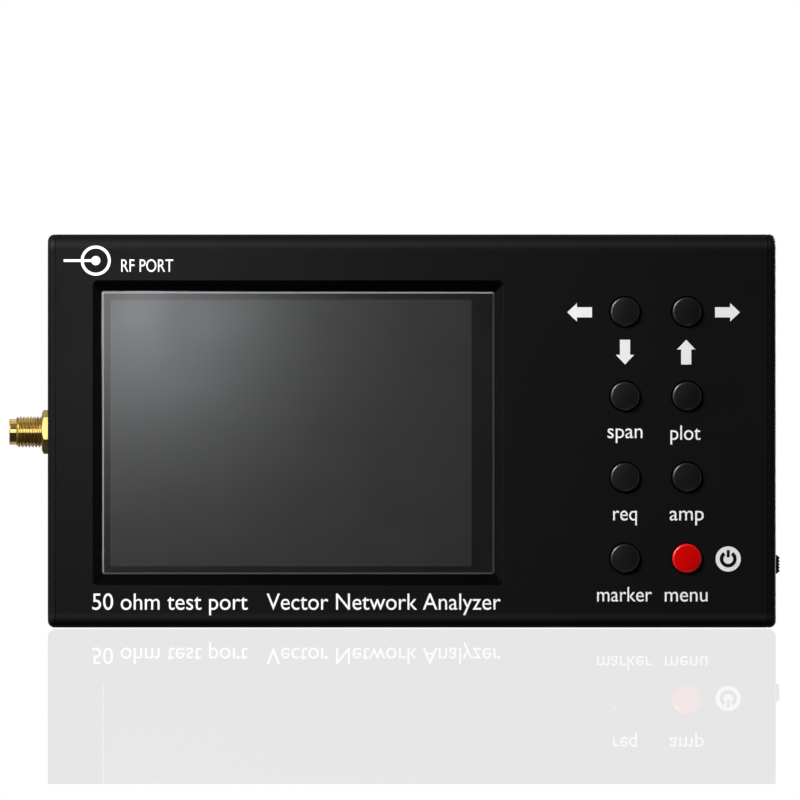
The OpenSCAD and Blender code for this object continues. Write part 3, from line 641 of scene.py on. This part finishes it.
def make_port():
    """The jack. Its outer faces that are tilted along the axis, such as the thread's flanks, are rougher and
    painted darker, as painted shade.
    """
    bm = bmesh.new()
    add_jack_core(bm)
    add_thread(bm)
    closed_up(bm, 2 * WELD)
    bright, dull_and_shaded = 0, 1
    outside_r, least_tilt, sharp = NOSE_R - 0.2 * MM, 0.1, math.radians(24)
    for face in bm.faces:
        middle = face.calc_center_median()
        outside = math.hypot(middle.y, middle.z - PORT_Z) > outside_r
        # faces tilted along the axis get the rougher, darker gold: painted shade
        face.material_index = dull_and_shaded if outside and abs(face.normal.x) > least_tilt else bright
    jack = piece_from("test_port_jack", bm, BODY, [GOLD, GOLD_FLANK_SHADED], "sma_shell", sharp)
    flat_shading_kept(jack)


# ---------------------------------------------------------------- slide switch

def make_knob():
    """The slide switch's knob: a copy of the CAD piece with its sharp edges rounded."""
    bm = bmesh.new()
    bm.from_mesh(frame["nodes"]["slide_switch_knob"].data)
    bmesh.ops.remove_doubles(bm, verts=bm.verts, dist=WELD)
    bmesh.ops.dissolve_limit(bm, angle_limit=math.radians(1), verts=bm.verts, edges=bm.edges)
    for face in bm.faces:
        face.material_index = 0
    knob = piece_from("slide_knob", bm, "slide_switch", [SWITCH], "slide_switch_knob")
    bevel = knob.modifiers.new("bevel", "BEVEL")
    bevel.width = 0.06 * MM
    bevel.segments = 2
    bevel.limit_method = "ANGLE"
    bevel.angle_limit = SHARP
    flat_shading_kept(knob)


# ---------------------------------------------------------------- legends

PRINT_T = 0.02 * MM
X_HEIGHT_AT_SIZE_1 = 0.46  # height of a small x in Blender's built-in font, at size 1


def mesh_of(curve):
    """The mesh of a text or of a filled outline."""
    source = in_scene(curve.name + "_source", curve)
    bpy.context.view_layer.update()
    depsgraph = bpy.context.evaluated_depsgraph_get()
    mesh = bpy.data.meshes.new_from_object(source.evaluated_get(depsgraph))
    bpy.data.objects.remove(source)
    return mesh


def printed(name, mesh, look, x, z):
    """Shows a flat XY mesh as print on the case's front, around the point (x, z)."""
    turn = Matrix.Rotation(math.pi / 2, 4, "X")
    mesh.transform(Matrix.Translation((x, FRONT - PRINT_T / 2, z)) @ turn)
    mesh.materials.clear()
    mesh.materials.append(look)
    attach(in_scene(name, mesh), BODY)


def words(name, text, x, z, width, x_height):
    """Words on the case: x is their middle and z their baseline. They are made at size 1 and scaled down."""
    curve = bpy.data.curves.new(name, "FONT")
    curve.body = text
    curve.extrude = PRINT_T / 2
    curve.resolution_u = 6
    mesh = mesh_of(curve)
    low = min(v.co.x for v in mesh.vertices)
    high = max(v.co.x for v in mesh.vertices)
    mesh.transform(Matrix.Translation((-(low + high) / 2, 0, 0)))
    mesh.transform(Matrix.Diagonal((width / (high - low), x_height / X_HEIGHT_AT_SIZE_1, 1, 1)))
    printed(name, mesh, PRINT, x, z)


def plate(name, outline, x, z, look=PRINT, lift=0.0, holes=()):
    """A flat printed shape from an outline around (0, 0)."""
    curve = bpy.data.curves.new(name, "CURVE")
    curve.dimensions = "2D"
    curve.fill_mode = "BOTH"
    curve.extrude = PRINT_T / 2
    for points in [outline, *holes]:
        spline = curve.splines.new("POLY")
        spline.points.add(len(points) - 1)
        for point, (u, v) in zip(spline.points, points):
            point.co = (u, v, 0, 1)
        spline.use_cyclic_u = True
    mesh = mesh_of(curve)
    mesh.transform(Matrix.Translation((0, 0, lift)))
    printed(name, mesh, look, x, z)


def arrow(turn):
    """A block arrow 5.1 mm long that points along +X, turned by an angle in degrees."""
    half, neck, shaft, wing = 2.55 * MM, 0.55 * MM, 1.05 * MM, 1.9 * MM
    upper = [(half, 0), (neck, wing), (neck, shaft), (-half, shaft)]
    lower = [(-half, -shaft), (neck, -shaft), (neck, -wing)]
    a = math.radians(turn)
    return [(x * math.cos(a) - y * math.sin(a), x * math.sin(a) + y * math.cos(a)) for x, y in lower + upper]


def make_key_legends():
    """The arrows and the words beside the keys. Distances from a key's middle are in millimetres."""
    arrows = (("left", "left", 180, -9.35, -0.1), ("right", "right", 0, 8.35, -0.1),
              ("down", "left", 270, 0, -8.3), ("up", "right", 90, -0.15, -8.3))
    for name, key, turn, across, up in arrows:
        middle = KEY_MIDDLE[key]
        plate("arrow_" + name, arrow(turn), middle.x + across * MM, middle.z + up * MM, PRINT_BROAD)
    labels = (("span", "span", 0, 8.6, 7.2), ("plot", "plot", -0.3, 8.95, 6.2),
              ("freq", "req", 0, 8.85, 4.9), ("amp", "amp", -0.05, 8.85, 7.0),
              ("marker", "marker", -0.1, 8.85, 11.3), ("menu", "menu", -0.15, 8.85, 8.8))
    for key, text, across, down, width in labels:
        middle = KEY_MIDDLE[key]
        words("label_" + key, text, middle.x + across * MM, middle.z - down * MM, width * MM, 2.0 * MM)


def make_power_symbol():
    """A light disc with a dark power symbol, beside the menu key."""
    x, z = KEY_MIDDLE["menu"].x + 8.5 * MM, KEY_MIDDLE["menu"].z - 0.1 * MM
    ring_out, ring_in, gap = 1.74 * MM, 1.0 * MM, 35
    bar_half, bar_low, bar_high = 0.3 * MM, 0.35 * MM, 1.85 * MM
    start, end = 90 + gap, 450 - gap
    ring = arc(0, 0, ring_out, start, end, steps=40) + arc(0, 0, ring_in, end, start, steps=40)
    bar = [(-bar_half, bar_low), (bar_half, bar_low), (bar_half, bar_high), (-bar_half, bar_high)]
    plate("power_disc", circle(2.6 * MM), x, z, PRINT_BROAD)
    plate("power_ring", ring, x, z, PRINT_BLACK, PRINT_T)
    plate("power_bar", bar, x, z, PRINT_BLACK, PRINT_T)


def make_titles():
    """The three titles on the front."""
    words("title_port", "50 ohm test port", -49.8 * MM, 3.7 * MM, 32 * MM, 2.25 * MM)
    words("title_type", "Vector Network Analyzer", -5.8 * MM, 3.7 * MM, 48.2 * MM, 2.25 * MM)
    words("title_short", "RF PORT", -54.5 * MM, 73.3 * MM, 10.7 * MM, 1.72 * MM)


def make_port_symbol():
    """A plain coaxial-port symbol: a ring, a dot, and a lead from the dot towards the port."""
    x, z = -65.1 * MM, 75.6 * MM
    ring_out, ring_in, dot, lead = 3.1 * MM, 2.5 * MM, 0.95 * MM, 0.27 * MM
    lead_start, lead_end = -3.05 * MM, -6.6 * MM
    plate("port_symbol_ring", circle(ring_out), x, z, holes=[circle(ring_in)])
    start = math.degrees(math.asin(lead / dot))
    dot_with_lead = arc(0, 0, dot, start - 180, 180 - start, steps=24) + [(-ring_in, lead), (-ring_in, -lead)]
    plate("port_symbol_dot", dot_with_lead, x, z)
    outer_lead = [(lead_end, -lead), (lead_start, -lead), (lead_start, lead), (lead_end, lead)]
    plate("port_symbol_lead", outer_lead, x, z)


# ---------------------------------------------------------------- stage

CAMERA_D = 6000 * MM
CAMERA_REACH = 50  # how far the camera sees, in metres
SENSOR = 36  # width of its sensor and unit of its focal length, in millimetres
FRAME_W = 164.76 * MM  # width of the picture, at the case's front
VIEW_X = -2.44 * MM
VIEW_Z = 46.89 * MM
FLOOR_Z = -0.22 * MM
FLOOR_REACH = 8
MIRROR_END = 32.2 * MM  # how far below the case's foot the mirror image ends
MIRROR_SHARE = 0.205
WHITE = (1, 1, 1, 1)


def make_camera():
    """A far camera that looks straight at the front."""
    data = bpy.data.cameras.new("camera")
    data.sensor_width = SENSOR
    data.lens = SENSOR * CAMERA_D / FRAME_W
    data.clip_end = CAMERA_REACH
    camera = in_scene("camera", data)
    camera.location = (VIEW_X, FRONT - CAMERA_D, VIEW_Z)
    camera.rotation_euler = (math.pi / 2, 0, 0)
    bpy.context.scene.camera = camera


def soft_light(name, place, aim, width, height, radiance, colour=(1, 1, 1)):
    """A rectangular soft light of a given brightness, aimed at a point. The floor doesn't mirror it."""
    data = bpy.data.lights.new(name, "AREA")
    data.shape = "RECTANGLE"
    data.size = width
    data.size_y = height
    data.energy = radiance * math.pi * width * height
    data.color = colour
    data.use_nodes = True
    nodes, links = data.node_tree.nodes, data.node_tree.links
    path, strength = nodes.new("ShaderNodeLightPath"), nodes.new("ShaderNodeMath")
    strength.operation = "SUBTRACT"
    strength.inputs[0].default_value = 1.0
    links.new(path.outputs["Is Singular Ray"], strength.inputs[1])
    links.new(strength.outputs["Value"], nodes["Emission"].inputs["Strength"])
    light = in_scene(name, data)
    light.location = place
    light.rotation_euler = (Vector(aim) - Vector(place)).to_track_quat("-Z", "Y").to_euler()
    light.visible_camera = False


def make_lights():
    """Two large boxes, a small glow for the screen, a weak box low in front, and cards for the test port.
    Each has a place, a point it is aimed at, a width and height in metres, and a radiance."""
    front, back = (0, -0.0135, 0.045), (0, 0.0135, 0.045)
    soft_light("softbox_key", (-0.37, -0.34, 0.385), front, 0.24, 0.24, 34)
    soft_light("softbox_back", (0.34, 0.46, 0.15), back, 0.24, 0.24, 27)
    cool_white = (0.97, 1.0, 1.025)
    soft_light("screen_glow", (-0.057, -0.132, 0.069), (-0.057, 0, 0.069), 0.025, 0.025, 28, cool_white)
    soft_light("softbox_low", (0.12, -0.4, -0.25), (0.12, 0, 0.03), 0.24, 0.12, 1.5)
    near_tip, past_tip = (-0.084, 0, PORT_Z), (-0.088, 0, PORT_Z)
    soft_light("port_card", (-0.084, -0.08, 0.053), near_tip, 0.024, 0.042, 1.7)
    soft_light("port_card_top", (-0.088, 0.012, 0.07), past_tip, 0.02, 0.045, 0.4)
    soft_light("port_card_low", (-0.088, 0.018, 0.015), past_tip, 0.02, 0.035, 0.25)


def make_world():
    """White to the camera and in the floor's mirror. To the object it is dim in front, brighter behind, above
    and to the sides, with a white band low behind."""
    world = bpy.data.worlds.new("studio")
    bpy.context.scene.world = world
    world.use_nodes = True
    nodes, links = world.node_tree.nodes, world.node_tree.links
    place = nodes.new("ShaderNodeTexCoord")
    split = nodes.new("ShaderNodeSeparateXYZ")
    links.new(place.outputs["Generated"], split.inputs["Vector"])
    x, y, z = split.outputs

    def ramp(source, start, end, low=0.0, high=1.0):
        """A smooth step from low to high, between two values of a socket."""
        made = nodes.new("ShaderNodeMapRange")
        made.interpolation_type = "SMOOTHSTEP"
        for socket, value in zip(("From Min", "From Max", "To Min", "To Max"), (start, end, low, high)):
            made.inputs[socket].default_value = value
        links.new(source, made.inputs["Value"])
        return made.outputs["Result"]

    def joined(operation, first, second):
        """Two sockets joined by a math operation."""
        made = nodes.new("ShaderNodeMath")
        made.operation = operation
        links.new(first, made.inputs[0])
        links.new(second, made.inputs[1])
        return made.outputs["Value"]

    behind = ramp(y, 0.0, 0.8, 0.03, 0.25)
    above = ramp(z, 0.3, 0.8, 0.0, 0.16)
    beside = ramp(joined("MULTIPLY", x, x), 0.3, 0.8, 0.0, 0.4)
    band = joined("MULTIPLY", ramp(z, 0.1, 0.04), ramp(z, -0.02, -0.01))
    band = joined("MULTIPLY", band, ramp(y, 0.3, 0.7))
    path = nodes.new("ShaderNodeLightPath")
    seen = joined("MAXIMUM", path.outputs["Is Camera Ray"], band)
    seen = joined("MAXIMUM", path.outputs["Is Singular Ray"], seen)
    dim, white = nodes["Background"], nodes.new("ShaderNodeBackground")
    dim.inputs["Color"].default_value = WHITE
    white.inputs["Color"].default_value = WHITE
    links.new(joined("ADD", joined("ADD", behind, above), beside), dim.inputs["Strength"])
    mix = nodes.new("ShaderNodeMixShader")
    links.new(seen, mix.inputs["Fac"])
    links.new(dim.outputs["Background"], mix.inputs[1])
    links.new(white.outputs["Background"], mix.inputs[2])
    links.new(mix.outputs["Shader"], nodes["World Output"].inputs["Surface"])


def floor_finish():
    """An even white with a weak, sharp mirror image."""
    made = bpy.data.materials.new("floor_white")
    made.use_nodes = True
    nodes, links = made.node_tree.nodes, made.node_tree.links
    nodes.remove(nodes["Principled BSDF"])
    glow = nodes.new("ShaderNodeEmission")
    glow.inputs["Strength"].default_value = 1.0
    mirror = nodes.new("ShaderNodeBsdfGlossy")
    mirror.inputs["Color"].default_value = WHITE
    mirror.inputs["Roughness"].default_value = 0.0
    mix = nodes.new("ShaderNodeMixShader")
    mix.inputs["Fac"].default_value = MIRROR_SHARE
    links.new(glow.outputs["Emission"], mix.inputs[1])
    links.new(mirror.outputs["BSDF"], mix.inputs[2])
    links.new(mix.outputs["Shader"], nodes["Material Output"].inputs["Surface"])
    return made


def make_floor():
    """A wide floor, which ends towards the camera where the lowest part of the mirror image ends."""
    camera_y = FRONT - CAMERA_D
    near = camera_y + CAMERA_D * (VIEW_Z - FLOOR_Z) / (VIEW_Z + MIRROR_END)
    bm = bmesh.new()
    corners = ((-FLOOR_REACH, near), (FLOOR_REACH, near),
               (FLOOR_REACH, FLOOR_REACH), (-FLOOR_REACH, FLOOR_REACH))
    bm.faces.new([bm.verts.new((x, y, FLOOR_Z)) for x, y in corners])
    floor = in_scene("floor", mesh_from("floor", bm))
    floor.data.materials.append(floor_finish())
    floor.visible_diffuse = False
    floor.visible_glossy = False
    floor.visible_shadow = False


# ---------------------------------------------------------------- make everything

bpy.context.scene.view_settings.view_transform = "Standard"
make_camera()
make_case()
make_screen()
for key in KEYS:
    make_key(key)
make_port()
make_knob()
make_key_legends()
make_power_symbol()
make_titles()
make_port_symbol()
make_world()
make_floor()
make_lights()
